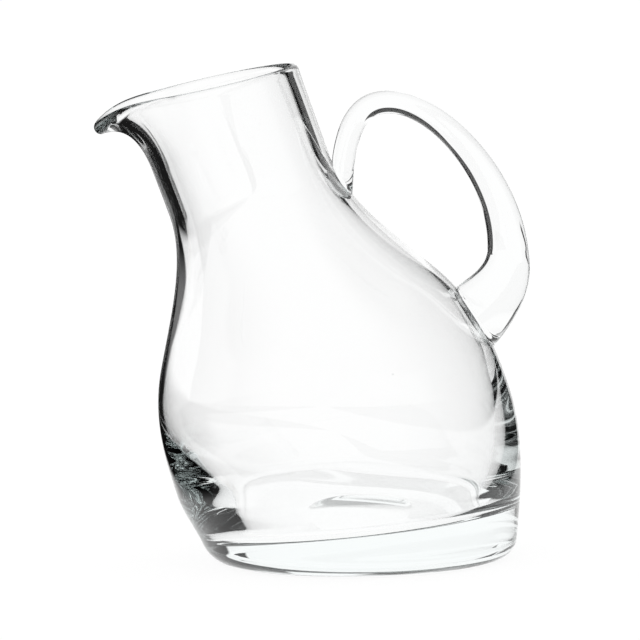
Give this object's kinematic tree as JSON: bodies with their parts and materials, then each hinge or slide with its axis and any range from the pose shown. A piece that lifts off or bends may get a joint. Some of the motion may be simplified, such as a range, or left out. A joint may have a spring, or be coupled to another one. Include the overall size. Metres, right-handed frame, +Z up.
{
  "type": "glass jug",
  "caption": "Clear blown glass jug for beer or water, with a leaning neck, a pulled pouring lip, a heavy base and an applied strap handle.",
  "frame": {"origin": "middle of the base, on the table", "axes": "+Z up; the pouring lip points to -X and the handle to +X; the jug is the same on both sides of the plane y = 0"},
  "size_m": [0.186, 0.1504, 0.2141],
  "materials": {
    "body_glass": "clear, fire-polished",
    "handle_glass": "clear, fire-polished"
  },
  "bodies": {
    "root": {"body": "body_glass", "handle": "handle_glass"}
  },
  "joints": []
}
